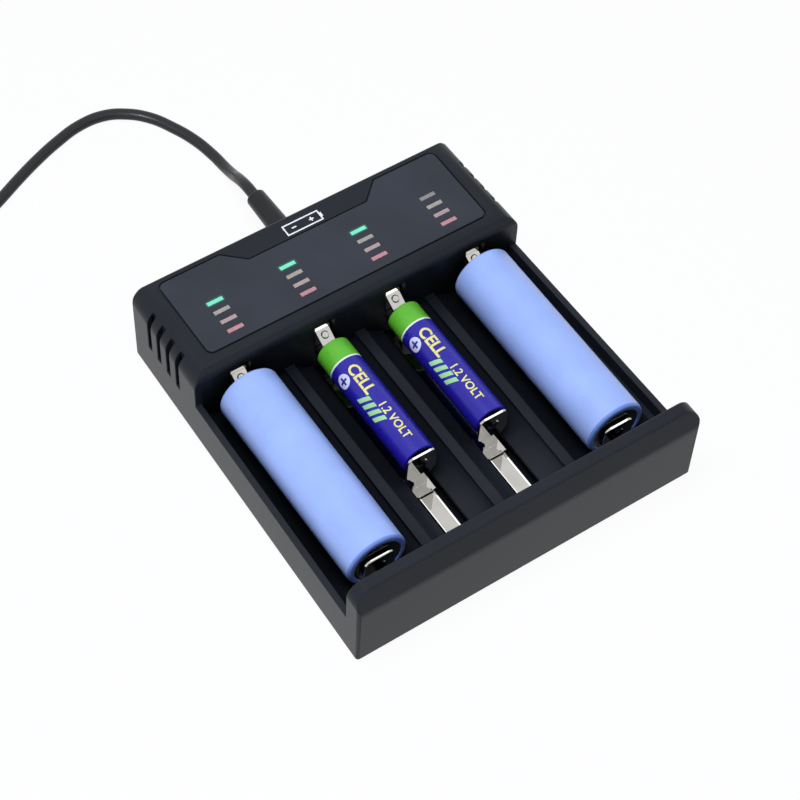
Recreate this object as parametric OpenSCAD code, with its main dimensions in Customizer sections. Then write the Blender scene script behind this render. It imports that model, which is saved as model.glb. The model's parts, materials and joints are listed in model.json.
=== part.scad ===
// Four-bay desktop charger for round rechargeable cells.
// X runs left to right, Y from the front wall to the rear console, Z up from the table.
// The origin is on the table under the middle of the housing.

/* [Housing] */
// Width of the housing at its front
front_w = 110.6; // [108:0.2:116]
// Width of the housing at its rear
rear_w = 106.6; // [105:0.2:110]
// Corner radius of the housing in plan
plan_r = 1; // [0.8:0.1:2]
// Thickness of the moulded shell
wall = 2.2; // [1.8:0.1:2.6]
// Thickness of the side rails
rail_t = 2; // [1.8:0.1:2.6]
// Height of the side rails above the table
rail_top = 15.8; // [14:0.2:18]
// Height of the housing above the table
foot_h = 1.2; // [0.8:0.1:1.6]
// Thickness of the base cover
cover_t = 1.4; // [1.2:0.1:1.8]
// Gap round the base cover
cover_gap = 0.15; // [0.1:0.05:0.3]

/* [Front wall] */
// Thickness of the front wall
front_wall_t = 5.9; // [5.2:0.1:6.4]
// Height of the front wall above the table
front_wall_top = 30.6; // [28:0.2:33]
// Height of the crease where the front face starts to lean back
crease_h = 24; // [20:0.5:26]
// How far the front face leans back at its top
front_lean = 2; // [1.4:0.1:2.4]
// Radius of the front wall's upper front edge
front_edge_r = 1; // [0.6:0.1:1.4]
// Radius of the front wall's upper corners
end_r = 5.5; // [3:0.5:6]
// Radius of the front wall's upper edges
edge_r = 0.6; // [0.3:0.1:0.8]

/* [Console] */
// Depth of the console from front to rear
console_d = 35.1; // [34:0.1:37]
// Height of the console above the table
console_top = 29; // [28.4:0.1:31]
// Radius of the console's left and right upper edges
console_side_r = 6; // [5:0.5:6.5]
// Radius of the console's front upper edge
console_front_r = 4; // [3:0.25:4.5]
// Radius of the console's rear upper edge
console_rear_r = 1.2; // [0.6:0.1:1.6]
// Vent slots on each side
vent_count = 4; // [2:1:4]
// Width of a vent slot
vent_w = 1.9; // [1.4:0.1:2.4]
// Spacing of the vent slots
vent_pitch = 5.15; // [4.8:0.05:5.4]
// Distance from the rear face to the first vent slot
vent_from_rear = 9.8; // [9:0.1:10.6]
// Height of the lower end of the vent slots
vent_bottom = 13.4; // [12:0.2:16]
// How far the vent slots reach in from the side
vent_depth = 2.4; // [2.4:0.1:3]

/* [Bays] */
// Spacing of the ribs between the bays
bay_pitch = 23.6; // [23:0.1:24.2]
// Gap between the large cells and the side rails
bay_side_gap = 3.6; // [3:0.1:4.2]
// Room for the sliders between the large cells and the front wall
slider_room = 9.35; // [9:0.05:16]
// Width of the ribs between the bays
rib_w = 3.3; // [2.4:0.1:4]
// Height of the ribs above the table
rib_top = 12.3; // [11:0.1:13]
// Thickness of the bay floor at the slots
floor_t = 1.2; // [1.1:0.05:1.3]
// Gap between the large cells and the edges of the slots
seat_gap = 0.9; // [0.8:0.05:1]
// How far the curved floor rises from the slots to the ribs
trough_rise = 4.6; // [4:0.1:5]
// Width of the slot along each bay
slot_w = 7.8; // [7.6:0.1:8]
// Height of the cells' axes above the table
contact_h = 16; // [15.6:0.1:16.4]

/* [Cells] */
// Diameter of the large cells
large_cell_d = 18.4; // [18:0.1:18.8]
// Length of the large cells
large_cell_l = 65.2; // [64.8:0.1:66.5]
// Diameter of the small cells
small_cell_d = 10.4; // [10:0.1:10.6]
// Length of the small cells with the positive button
small_cell_l = 44.5; // [43.5:0.1:44.8]
// Gap between a cell and each contact
contact_gap = 0.05; // [0.02:0.01:0.1]

/* [Positive contacts] */
// Width of the leaf contacts
leaf_w = 4.2; // [3.6:0.1:4.8]
// Width of the bar across the tip of a leaf contact
leaf_bar_w = 5.3; // [5:0.1:5.8]
// Thickness of the leaf contacts
leaf_t = 0.4; // [0.3:0.05:0.5]
// How far the contacts stand in front of the console
contact_reach = 2.8; // [2.4:0.1:3.2]
// Width of the contact pockets
pocket_w = 6.4; // [6:0.1:7]
// Depth of the contact pockets
pocket_d = 2.9; // [2.7:0.1:3.2]
// Height of the lower end of the contact pockets
pocket_bottom = 9.4; // [9.2:0.1:9.8]
// Height of the upper end of the contact pockets
pocket_top = 21; // [20.6:0.1:21.6]
// Thickness of the walls round the contact pockets
liner_t = 1.2; // [0.9:0.1:1.4]

/* [Sliders] */
// Sheet thickness of the sliders
slider_t = 0.6; // [0.5:0.05:0.7]
// Width of the slider's upright tab
tab_w = 9.6; // [8.4:0.1:10.4]
// Height of the upper edge of the tab
tab_top = 19.6; // [18.6:0.1:20.4]
// Height of the lower edge of the tab's wide part
tab_bottom = 10; // [9.2:0.1:11]
// Corner radius of the tab
tab_r = 2; // [1:0.1:2.6]
// Width of the stem below the tab
stem_w = 4.4; // [3.6:0.1:5]
// Height of the contact dome on the tab
dome_h = 0.5; // [0.3:0.05:0.6]
// Radius of the contact dome
dome_r = 1.9; // [1.5:0.1:2.2]
// Length of the slider's foot in front of the tab
foot_front_l = 3; // [2.4:0.1:3.4]
// Length of the slider's foot behind the tab
foot_rear_l = 4.4; // [3.6:0.1:5]
// Distance kept between a slider at its front stop and the front wall
front_stop_gap = 0.9; // [0.5:0.1:1.4]

/* [Slider rails] */
// Width of the rails
rail_w = 5; // [4.6:0.1:5.2]
// Width of the web under each rail
web_w = 2.4; // [2:0.1:2.6]
// Height of the rails above the base cover
rail_h = 1.35; // [1.3:0.05:1.45]
// Sheet thickness of the rails
rail_sheet = 0.5; // [0.4:0.05:0.55]
// Radius of the rails' upper edges
rail_edge_r = 0.4; // [0.2:0.05:0.4]
// Running gap between the sliders and the rails
running_gap = 0.15; // [0.1:0.01:0.2]
// Diameter of the extension springs
spring_d = 2.4; // [2.2:0.1:2.5]
// Wire diameter of the springs
spring_wire = 0.4; // [0.35:0.05:0.5]
// Turns of each spring
spring_turns = 14; // [10:1:16]

/* [Light panel] */
// Distance of the light panel from the console's sides at the rear
panel_margin = 7.1; // [6.5:0.1:8]
// Depth of the light panel from front to rear
panel_d = 28.4; // [28:0.1:29]
// Distance of the light panel from the rear face
panel_from_rear = 2.1; // [1.8:0.1:2.4]
// Depth of the notch in the panel's rear edge
notch_d = 5.7; // [4.6:0.1:6.2]
// Half width of the notch at its closed side
notch_half_w = 19.7; // [17:0.1:21]
// Corner radius of the panel
panel_r = 2.2; // [1.4:0.1:3]
// Thickness of the panel
panel_t = 0.8; // [0.6:0.05:1]
// How far the panel stands above the console
panel_proud = 0.1; // [0:0.05:0.2]
// Gap round the panel
panel_gap = 0.15; // [0.1:0.05:0.25]
// Length of a light bar
bar_l = 5; // [4.4:0.1:5.6]
// Width of a light bar
bar_w = 1.35; // [1.1:0.05:1.6]
// Spacing of the light bars in a group
bar_pitch = 3.62; // [3.4:0.02:3.8]
// Distance from the rear face to the rearmost light bar
bar_from_rear = 15.6; // [15:0.1:16.2]
// Gap round each light bar
bar_gap = 0.05; // [0.03:0.01:0.1]

/* [Board and fasteners] */
// Thickness of the circuit board
board_t = 1.6; // [1:0.1:1.8]
// Thickness of the light guides' carrier plates
guide_plate_t = 1; // [0.8:0.1:1.2]
// Height of the light chips
chip_h = 0.7; // [0.5:0.05:0.8]
// Radius of the housing screws' shanks
screw_r = 1.1; // [0.9:0.05:1.2]
// Radius of the housing screws' heads
screw_head_r = 2.1; // [1.9:0.1:2.3]
// Distance of the housing screws from the base cover's edges
screw_margin = 4.3; // [3.4:0.1:5]
// Radius of the rubber feet
pad_r = 4.5; // [3.5:0.1:5]
// Distance of the rubber feet from the base cover's side edges
pad_margin = 1.15; // [0.6:0.05:3]
// Distance of the rubber feet's centres from the front and rear faces
pad_from_end = 17; // [15:0.5:25]
// Length of a charge chip under the board
charge_chip_l = 5; // [4:0.5:6]
// Depth of a charge chip under the board
charge_chip_d = 4; // [3:0.5:5]
// Height of a charge chip under the board
charge_chip_h = 1.5; // [1:0.1:1.8]
// Side of the controller under the board
controller_l = 7; // [5:0.5:9]
// Height of the controller under the board
controller_h = 1.2; // [0.8:0.1:1.6]
// How far the rubber feet are let into the base cover
pad_seat = 0.5; // [0.3:0.1:0.6]

/* [Lead] */
// Diameter of the lead
cord_d = 3.5; // [3.5:0.1:3.6]
// Length of the strain relief behind the housing
relief_l = 23.8; // [20:0.1:26]
// Diameter of the strain relief at the housing
relief_base_d = 7.2; // [6.4:0.1:7.6]
// Height of the lead's outlet above the table
outlet_h = 11; // [9.5:0.1:12]
// Distance of the lead's outlet from the middle
outlet_x = 1.5; // [0:0.1:3]

/* [Hidden] */
$fn = 48;
eps = 0.01;
reach = 400;

// Main planes
housing_d = front_wall_t + slider_room + large_cell_l + contact_gap + contact_reach + console_d;
y_front = -housing_d / 2;
y_rear = housing_d / 2;
wall_in = y_front + front_wall_t;
console_front = y_rear - console_d;
side_taper = atan((front_w - rear_w) / 2 / housing_d);
top_h = max(front_wall_top, console_top);
cover_top = foot_h + cover_t;
ceiling = console_top - wall;

// Bays and cells
outer_bay_x = half_w(console_front) - rail_t - bay_side_gap - large_cell_d / 2;
bay_x = [-outer_bay_x, -bay_pitch / 2, bay_pitch / 2, outer_bay_x];
seat_drop = sqrt(pow(large_cell_d / 2, 2) - pow(slot_w / 2, 2));
floor_z = contact_h - seat_drop - seat_gap;
floor_under = floor_z - floor_t;
contact_y = console_front - contact_reach;
cell_l = [large_cell_l, small_cell_l, small_cell_l, large_cell_l];
cell_end = [for (l = cell_l) contact_y - contact_gap - l];

// Rails and sliders
rail_front = wall_in + 0.4;
rail_rear = console_front - 2.2;
rail_z = cover_top + rail_h;
rail_under = rail_z - rail_sheet;
hook_half_w = rail_w / 2 + running_gap;
saddle_half_w = hook_half_w + slider_t * 0.7;
saddle_under = rail_z + running_gap;
saddle_top = saddle_under + slider_t;
hook_top = rail_under - running_gap;
hook_t = 0.35;
hook_reach = 0.9;
tab_rear = -contact_gap - dome_h;
tab_front = tab_rear - slider_t;
foot_front = tab_front - foot_front_l;
foot_rear = tab_rear + foot_rear_l;
dome_z = contact_h - 0.5;
dome_flank = 0.7;
spring_z = cover_top + 0.25 + spring_d / 2;
spring_x = slot_w / 2 + 0.3 + spring_d / 2;
spring_clear = 0.3;
spring_hook_t = 0.6;
spring_steps = 8;
spring_sides = 5;

// Contact pockets, board and leads inside the console
nose_z = [contact_h - 1.2, contact_h + 1];
leaf_tip = [console_front + pocket_d - 0.9, contact_h + 3.6];
leaf_curl = [0.5, -0.15];
leaf_boss_r = [1.3, 0.9];
leaf_boss_h = 0.6;
leaf_root_z = pocket_bottom + 1.2;
pocket_rear = console_front + pocket_d;
liner_rear = pocket_rear + liner_t;
leaf_leg_y = liner_rear + 0.5;
rail_leg_y = liner_rear + 1.9;
panel_seat = panel_t - panel_proud;
board_top = ceiling - guide_plate_t - 0.2 - chip_h;
board_bottom = board_top - board_t;
board_gap = 0.5;
board_side_gap = 3.4;
board_y = [console_front + wall + board_gap, y_rear - wall - board_gap];
board_half_w = rear_w / 2 - wall - board_side_gap;
post_r = 2.2;
post_inset = 3.4;
post_gap = 1.4;
board_screw_r = 0.85;
board_screw_head_r = 1.6;
board_screw_head_h = 1.2;
chip_inset = 1.2;
chip_row_y = (board_y[0] + board_y[1]) / 2 + post_r;
bar_x = [-1.5, -0.5, 0.5, 1.5] * bay_pitch;
bar_y = [for (k = [0 : 3]) y_rear - bar_from_rear - k * bar_pitch];

// Housing screws and feet
boss_r = 2.9;
boss_gap = 0.4;
front_screw = [half_w(wall_in) - wall - cover_gap - screw_margin, wall_in + boss_r + boss_gap];
rear_screw = [rear_w / 2 - wall - cover_gap - screw_margin, y_rear - wall - cover_gap - screw_margin];
screw_tip = floor_z - 0.6;
screw_seat = foot_h + 0.5;
screw_clear = 0.15;
pad_place = [min(front_w, rear_w) / 2 - wall - cover_gap - pad_r - pad_margin, housing_d / 2 - pad_from_end];
post = [[board_half_w - post_inset, board_y[0] + post_inset],
        [rear_screw[0] - boss_r - post_r - post_gap, board_y[1] - post_inset]];

// Lead, its coil and its plug
relief_tip_d = 6;
relief_end = y_rear + relief_l;
cord_r = cord_d / 2;
tie_t = 0.6;
cord_z = cord_r;
coil_centre = [-87, 138.5];
coil_mid_r = 19.25;
coil_half = cord_d;
coil_z = tie_t + coil_half;
route = [
  [outlet_x, relief_end, outlet_h], [outlet_x, relief_end + 4, outlet_h], [2, relief_end + 9, 9],
  [3, 98, 5], [3.5, 104, 2.5], [3.3, 110, 1.8], [1.7, 118.3, 1.8], [-1.4, 126.5, 1.8],
  [-5.4, 133.7, 1.8], [-10.8, 138.9, 1.8], [-17, 141.9, 1.8], [-25, 142.3, 1.8], [-34, 140.1, 1.8],
  [-43, 136.8, 1.8], [-51.5, 133, 1.8], [-59.5, 129, 1.9], [-68, 125, 2.1], [-78, 119.5, 2.4]];
tail = [[-87, 117.5, 5.9], [-92, 117.5, 5.6], [-97, 117.5, 5], [-102, 117.5, 4.5], [-107, 117.5, 4.4]];
plug_at = tail[len(tail) - 1];
plug_l = 22;
plug_w = 15.6;
plug_t = 8;
plug_neck_l = 7;
shell_l = 14;
shell_w = 12;
shell_t = 4.5;
shell_sheet = 0.35;

// Half width of the housing at a given Y
function half_w(y) = (front_w + (rear_w - front_w) * (y - y_front) / housing_d) / 2;

// Points of an arc about a centre
function arc(c, r, a0, a1, n = 8) = [for (k = [0 : n]) c + r * [cos(a0 + (a1 - a0) * k / n),
                                                                sin(a0 + (a1 - a0) * k / n)]];

// Plan outline of the housing, moved inwards by an inset
function plan_points(inset) =
  let (r = max(plan_r - inset, 0.4),
       yf = y_front + inset + r,
       yr = y_rear - inset - r,
       xf = half_w(yf) - (inset + r) / cos(side_taper),
       xr = half_w(yr) - (inset + r) / cos(side_taper))
  concat(arc([xf, yf], r, -90, side_taper), arc([xr, yr], r, side_taper, 90),
         arc([-xr, yr], r, 90, 180 - side_taper), arc([-xf, yf], r, 180 - side_taper, 270));

module plan(inset = 0) {
  polygon(plan_points(inset));
}

// A profile drawn in Y and Z, extruded to both sides of the middle
module along_x(w) {
  rotate([90, 0, 90]) linear_extrude(w, center = true) children();
}

// A profile drawn in X and Z, extruded from y0 to y1
module along_y(y0, y1) {
  translate([0, y1, 0]) rotate([90, 0, 0]) linear_extrude(y1 - y0) children();
}

// A box given by its lowest and highest corners
module block(a, b) {
  translate(a) cube(b - a);
}

// A round peg that stands on z0
module peg(x, y, z0, z1, r) {
  translate([x, y, z0]) cylinder(h = z1 - z0, r = r);
}

// A folded strip that follows points in Y and Z
module folded_strip(points, t, w) {
  along_x(w) for (i = [0 : len(points) - 2]) {
    run = points[i + 1] - points[i];
    translate(points[i]) rotate(atan2(run[1], run[0])) translate([0, -t / 2]) square([norm(run), t]);
    translate(points[i]) circle(d = t);
    translate(points[i + 1]) circle(d = t);
  }
}

// Rings of a tube about a path, with a reference direction that the path never follows
function unit(v) = v / norm(v);
function heading(p, i) = unit(p[min(i + 1, len(p) - 1)] - p[max(i - 1, 0)]);
function ring(p, i, r, sides, ref) =
  let (t = heading(p, i), a = unit(cross(t, ref)), b = cross(a, t))
  [for (k = [0 : sides - 1]) p[i] + r * (cos(360 * k / sides) * a + sin(360 * k / sides) * b)];

module tube(p, r, sides, ref) {
  n = len(p);
  rings = [for (i = [0 : n - 1]) each ring(p, i, r, sides, ref)];
  skin = [for (i = [0 : n - 2]) for (k = [0 : sides - 1])
    let (m = (k + 1) % sides) each [
      [i * sides + k, i * sides + m, (i + 1) * sides + m],
      [i * sides + k, (i + 1) * sides + m, (i + 1) * sides + k]]];
  first = [for (k = [sides - 1 : -1 : 0]) k];
  last = [for (k = [0 : sides - 1]) (n - 1) * sides + k];
  polyhedron(rings, concat(skin, [first, last]));
}

// The console's form: its upper edges are rounded at the front, the rear and both sides.
// An inset gives the hollow inside it.
module console_form(inset = 0) {
  top = console_top - inset;
  rear_r = max(console_rear_r - inset, 0.4);
  front_r = console_front_r - inset;
  side_r = console_side_r - inset;
  profile = concat(
    [[y_rear - inset, foot_h]], arc([y_rear - inset - rear_r, top - rear_r], rear_r, 0, 90),
    arc([console_front + inset + front_r, top - front_r], front_r, 90, 180, 12),
    [[console_front + inset, foot_h]]);
  side = concat([[-inset, 0]], arc([-console_side_r, top - side_r], side_r, 0, 90, 12),
                [[-front_w, top], [-front_w, 0]]);
  intersection() {
    along_x(reach) polygon(profile);
    for_both_sides_cut(side);
  }
}

// What two mirrored side profiles have in common, each turned to its tapering side
module for_both_sides_cut(side) {
  intersection() {
    side_prism(side);
    mirror([1, 0, 0]) side_prism(side);
  }
}

module side_prism(side) {
  translate([front_w / 2, y_front, 0]) rotate(side_taper) along_y(-10, housing_d + 10) polygon(side);
}

// The front wall: rounded upper corners, and a face that leans back above its crease
module front_wall_form() {
  face = concat(
    [[y_front, foot_h], [y_front, crease_h]],
    arc([y_front + front_lean + front_edge_r, front_wall_top - front_edge_r], front_edge_r, 160, 90, 6),
    arc([wall_in - edge_r, front_wall_top - edge_r], edge_r, 90, 0, 5),
    [[wall_in, foot_h]]);
  outline = concat(
    [[front_w / 2, 0]], arc([front_w / 2 - end_r, front_wall_top - end_r], end_r, 0, 90, 12),
    arc([-front_w / 2 + end_r, front_wall_top - end_r], end_r, 90, 180, 12), [[-front_w / 2, 0]]);
  intersection() {
    along_x(reach) polygon(face);
    along_y(y_front - 1, wall_in + 1) polygon(outline);
  }
}

// The outer form of the upper housing
module housing_form() {
  intersection() {
    translate([0, 0, foot_h]) linear_extrude(top_h) plan();
    union() {
      console_form();
      front_wall_form();
      block([-reach, y_front, foot_h], [reach, console_front + wall, rail_top]);
    }
  }
}

// A bay's floor at x, curved up from the edges of its slot, between the rib's axis at x0 and x1
module trough(x, x0, x1) {
  side = x - x0 - rib_w / 2;
  half_slot = slot_w / 2;
  axis_h = (side * side + trough_rise * trough_rise - half_slot * half_slot) / (2 * trough_rise);
  difference() {
    block([x0, y_front, 0], [x1, y_rear, rib_top]);
    translate([x, y_front - 1, floor_z + axis_h]) rotate([-90, 0, 0])
      cylinder(h = housing_d + 2, r = sqrt(axis_h * axis_h + half_slot * half_slot), $fn = 180);
  }
}

// The open tray between the front wall and the console, with ribs and curved floors left standing
module bay_cut() {
  difference() {
    intersection() {
      translate([0, 0, floor_z]) linear_extrude(reach) plan(rail_t);
      block([-reach, wall_in, 0], [reach, console_front, reach]);
    }
    for (k = [-1 : 1])
      block([k * bay_pitch - rib_w / 2, y_front, 0], [k * bay_pitch + rib_w / 2, y_rear, rib_top]);
    for (s = [0, 1]) mirror([s, 0, 0]) {
      trough(bay_x[2], 0, bay_pitch);
      trough(bay_x[3], bay_pitch, reach);
    }
  }
  for (x = bay_x)
    block([x - slot_w / 2, wall_in, 0], [x + slot_w / 2, console_front, rib_top - 1]);
}

// Hollows under the floor, in the console and in the front wall
module inner_cut() {
  translate([0, 0, foot_h - eps]) linear_extrude(cover_t + eps) plan(wall);
  intersection() {
    translate([0, 0, foot_h]) linear_extrude(reach) plan(wall);
    union() {
      block([-reach, wall_in, foot_h], [reach, y_rear, floor_under]);
      console_form(wall);
    }
  }
  core_half_w = front_w / 2 - 9;
  block([-core_half_w, y_front + wall, foot_h], [core_half_w, wall_in - wall, crease_h]);
}

// Vent slots that run over the rounded edge and down both sides of the console
module vent_cut() {
  for (s = [0, 1]) mirror([s, 0, 0]) for (k = [0 : vent_count - 1]) {
    y = y_rear - vent_from_rear - k * vent_pitch;
    x = half_w(y) - vent_depth;
    block([x, y - vent_w / 2, vent_bottom], [reach, y + vent_w / 2, reach]);
  }
}

// Pockets in the console's front face, and the slots that the leaf contacts pass through
module pocket_cut() {
  for (x = bay_x) {
    block([x - pocket_w / 2, console_front - 1, pocket_bottom],
          [x + pocket_w / 2, pocket_rear, pocket_top]);
    block([x - leaf_w / 2 - running_gap, pocket_rear - 1, leaf_root_z - leaf_t / 2 - running_gap],
          [x + leaf_w / 2 + running_gap, liner_rear + 1, leaf_root_z + leaf_t / 2 + running_gap]);
  }
}

module pocket_liners() {
  for (x = bay_x)
    block([x - pocket_w / 2 - liner_t, console_front + wall / 2, floor_under],
          [x + pocket_w / 2 + liner_t, liner_rear, pocket_top + liner_t]);
}

// Outline of the light panel, with its notch at the rear, moved outwards by a gap
function panel_points(gap) =
  let (x = rear_w / 2 - panel_margin + gap, y1 = y_rear - panel_from_rear + gap, y0 = y1 - panel_d - 2 * gap,
       r = panel_r + gap, n = notch_half_w - gap, slope = notch_d * 1.08)
  concat(arc([x - r, y0 + r], r, -90, 0), arc([x - r, y1 - r], r, 0, 90),
         [[n + slope, y1], [n, y1 - notch_d], [-n, y1 - notch_d], [-n - slope, y1]],
         arc([-x + r, y1 - r], r, 90, 180), arc([-x + r, y0 + r], r, 180, 270));

// One group of light bars as seen from above, each grown by a gap
module bar_group(x, gap) {
  for (y = bar_y)
    translate([x - bar_l / 2 - gap, y - bar_w / 2 - gap]) square([bar_l + 2 * gap, bar_w + 2 * gap]);
}

module upper_housing() color("#2c2e33") {
  difference() {
    union() {
      difference() {
        housing_form();
        inner_cut();
      }
      pocket_liners();
      for (s = [-1, 1]) {
        peg(s * front_screw[0], front_screw[1], cover_top, floor_z - eps, boss_r);
        peg(s * rear_screw[0], rear_screw[1], cover_top, ceiling + eps, boss_r);
        for (p = post) peg(s * p[0], p[1], board_top, ceiling + eps, post_r);
      }
    }
    bay_cut();
    vent_cut();
    pocket_cut();
    translate([0, 0, console_top - panel_seat]) linear_extrude(reach) polygon(panel_points(panel_gap));
    for (x = bar_x) translate([0, 0, ceiling - 1]) linear_extrude(reach) bar_group(x, bar_gap);
    translate([outlet_x, y_rear + 1, outlet_h]) rotate([90, 0, 0])
      cylinder(h = wall + 2, d = relief_base_d - 1);
    for (s = [-1, 1]) {
      peg(s * front_screw[0], front_screw[1], cover_top - 1, screw_tip + 0.3, screw_r);
      peg(s * rear_screw[0], rear_screw[1], cover_top - 1, screw_tip + 6, screw_r);
      for (p = post) peg(s * p[0], p[1], board_top - 1, ceiling + 0.6, board_screw_r);
    }
  }
}

module base_cover() color("#26282c") {
  difference() {
    translate([0, 0, foot_h]) linear_extrude(cover_t) plan(wall + cover_gap);
    for (s = [-1, 1]) {
      for (p = [front_screw, rear_screw]) {
        peg(s * p[0], p[1], 0, cover_top + 1, screw_r + screw_clear);
        peg(s * p[0], p[1], 0, screw_seat, screw_head_r + screw_clear);
      }
      for (t = [-1, 1]) peg(s * pad_place[0], t * pad_place[1], 0, foot_h + pad_seat, pad_r);
    }
  }
}

module led_panel() color("#3f4248") {
  translate([0, 0, console_top - panel_seat]) linear_extrude(panel_t) difference() {
    polygon(panel_points(0));
    for (x = bar_x) bar_group(x, bar_gap);
  }
}

// A moulded guide: four light bars on a carrier plate under the console's roof
module light_guide(i) color("#b9c2bd") {
  margin = 1.2;
  translate([0, 0, ceiling - eps]) linear_extrude(console_top + panel_proud - ceiling + eps)
    bar_group(bar_x[i], 0);
  block([bar_x[i] - bar_l / 2 - margin, bar_y[3] - bar_w / 2 - margin, ceiling - guide_plate_t],
        [bar_x[i] + bar_l / 2 + margin, bar_y[0] + bar_w / 2 + margin, ceiling]);
}

module main_board() color("#1f5a34") {
  difference() {
    block([-board_half_w, board_y[0], board_bottom], [board_half_w, board_y[1], board_top]);
    for (s = [-1, 1]) {
      for (p = post) peg(s * p[0], p[1], board_bottom - 1, board_top + 1, board_screw_r + screw_clear);
      peg(s * rear_screw[0], rear_screw[1], board_bottom - 1, board_top + 1, boss_r + 0.4);
    }
  }
}

module led_chips() color("#e8e4d2") {
  for (x = bar_x) for (y = bar_y)
    block([x - bar_l / 2 + chip_inset, y - bar_w / 2, board_top],
          [x + bar_l / 2 - chip_inset, y + bar_w / 2, board_top + chip_h]);
}

// Charge chips under the board, one for each bay, and a controller between them
module board_parts() color("#1c1c1e") {
  for (x = bar_x)
    block([x - charge_chip_l / 2, chip_row_y - charge_chip_d / 2, board_bottom - charge_chip_h],
          [x + charge_chip_l / 2, chip_row_y + charge_chip_d / 2, board_bottom]);
  block([-controller_l / 2, chip_row_y - controller_l / 2, board_bottom - controller_h],
        [controller_l / 2, chip_row_y + controller_l / 2, board_bottom]);
}

module board_screws() color("#b8bbc0") {
  for (s = [-1, 1]) for (p = post) {
    peg(s * p[0], p[1], board_bottom - board_screw_head_h, board_bottom, board_screw_head_r);
    peg(s * p[0], p[1], board_bottom - eps, ceiling + 0.4, board_screw_r - 0.05);
  }
}

// A sprung leaf: its nose meets the cell, and its leg rises to the board behind the pocket.
// A bar curls back across its tip, and a boss stiffens the sloping face.
module positive_contact(i) color("#c9ccd0") translate([bay_x[i], 0, 0]) {
  nose = [contact_y + leaf_t / 2, nose_z[1]];
  slope = leaf_tip - nose;
  folded_strip([
    leaf_tip, nose, [nose[0], nose_z[0]], [console_front + 0.6, leaf_root_z],
    [leaf_leg_y, leaf_root_z], [leaf_leg_y, board_bottom - leaf_t / 2]], leaf_t, leaf_w);
  folded_strip([leaf_tip, leaf_tip + leaf_curl], leaf_t, leaf_bar_w);
  translate(concat([0], nose + slope * 0.6)) rotate([atan2(slope[1], slope[0]), 0, 0])
    cylinder(h = leaf_boss_h, r1 = leaf_boss_r[0], r2 = leaf_boss_r[1]);
}

// A flat rail on a web: the slider hooks round its edges.
// It has an arm for the spring and a leg to the board.
module slider_rail(i) color("#c9ccd0") translate([bay_x[i], 0, 0]) {
  web = web_w / 2;
  w = rail_w / 2;
  e = rail_edge_r;
  along_y(rail_front, rail_rear) polygon(concat(
    [[-web, cover_top], [web, cover_top], [web, rail_under], [w, rail_under]],
    arc([w - e, rail_z - e], e, 0, 90, 4), arc([-w + e, rail_z - e], e, 90, 180, 4),
    [[-w, rail_under], [-web, rail_under]]));
  block([0, rail_rear - spring_hook_t, cover_top],
        [spring_x + spring_d / 2, rail_rear, spring_z + spring_d / 2]);
  block([-web, rail_rear - 1, cover_top], [web, rail_leg_y, cover_top + rail_sheet]);
  block([-web, rail_leg_y - rail_sheet, cover_top], [web, rail_leg_y, board_bottom]);
}

// Outline of the slider's tab and stem, seen from the front
function tab_points() =
  let (w = tab_w / 2, s = stem_w / 2, z = tab_bottom)
  concat([[-s, saddle_top - slider_t / 2], [s, saddle_top - slider_t / 2], [s, z - 2.4]],
         arc([w - tab_r, z + tab_r], tab_r, -60, 0), arc([w - tab_r, tab_top - tab_r], tab_r, 0, 90),
         arc([-w + tab_r, tab_top - tab_r], tab_r, 90, 180), arc([-w + tab_r, z + tab_r], tab_r, 180, 240),
         [[-s, z - 2.4]]);

// A folded slider: an upright tab with a contact dome, on a foot that hooks round the rail,
// and an arm under the floor that holds the spring
module slider(i) color("#c9ccd0") translate([bay_x[i], cell_end[i], 0]) {
  difference() {
    union() {
      along_y(tab_front, tab_rear) polygon(tab_points());
      translate([0, tab_rear - eps, dome_z]) rotate([-90, 0, 0])
        cylinder(h = dome_h + eps, r1 = dome_r, r2 = dome_r - dome_flank);
    }
    translate([0, tab_front - eps, dome_z]) rotate([-90, 0, 0])
      cylinder(h = dome_h, r1 = dome_r, r2 = dome_r - dome_flank);
  }
  block([-saddle_half_w, foot_front, saddle_under], [saddle_half_w, foot_rear, saddle_top]);
  for (s = [0, 1]) mirror([s, 0, 0]) {
    block([hook_half_w, foot_front, hook_top - hook_t], [saddle_half_w, foot_rear, saddle_top]);
    block([hook_half_w - hook_reach, foot_front, hook_top - hook_t], [saddle_half_w, foot_rear, hook_top]);
  }
  block([hook_half_w, foot_rear - slider_t, hook_top - hook_t],
        [spring_x + spring_d / 2, foot_rear, spring_z + spring_d / 2]);
}

// An extension spring under the floor, between the slider's arm and the arm at the rear of its rail
module slider_spring(i) color("#b4b7bc") {
  y0 = cell_end[i] + foot_rear + spring_clear + spring_wire / 2;
  y1 = rail_rear - spring_hook_t - spring_clear / 2 - spring_wire / 2;
  r = (spring_d - spring_wire) / 2;
  n = spring_turns * spring_steps;
  path = [for (k = [0 : n]) [bay_x[i] + spring_x + r * cos(360 * k / spring_steps), y0 + (y1 - y0) * k / n,
                            spring_z + r * sin(360 * k / spring_steps)]];
  tube(path, spring_wire / 2, spring_sides, [0, 1, 0]);
}

module housing_screws() color("#8d9095") {
  head_h = 0.9;
  for (s = [-1, 1]) for (p = [[front_screw, screw_tip], [rear_screw, screw_tip + 5]]) {
    difference() {
      union() {
        peg(s * p[0][0], p[0][1], screw_seat - head_h, screw_seat, screw_head_r);
        peg(s * p[0][0], p[0][1], screw_seat - eps, p[1], screw_r - 0.05);
      }
      for (a = [0, 90]) translate([s * p[0][0], p[0][1], screw_seat - head_h]) rotate(a)
        cube([2.2, 0.6, 1], center = true);
    }
  }
}

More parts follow.
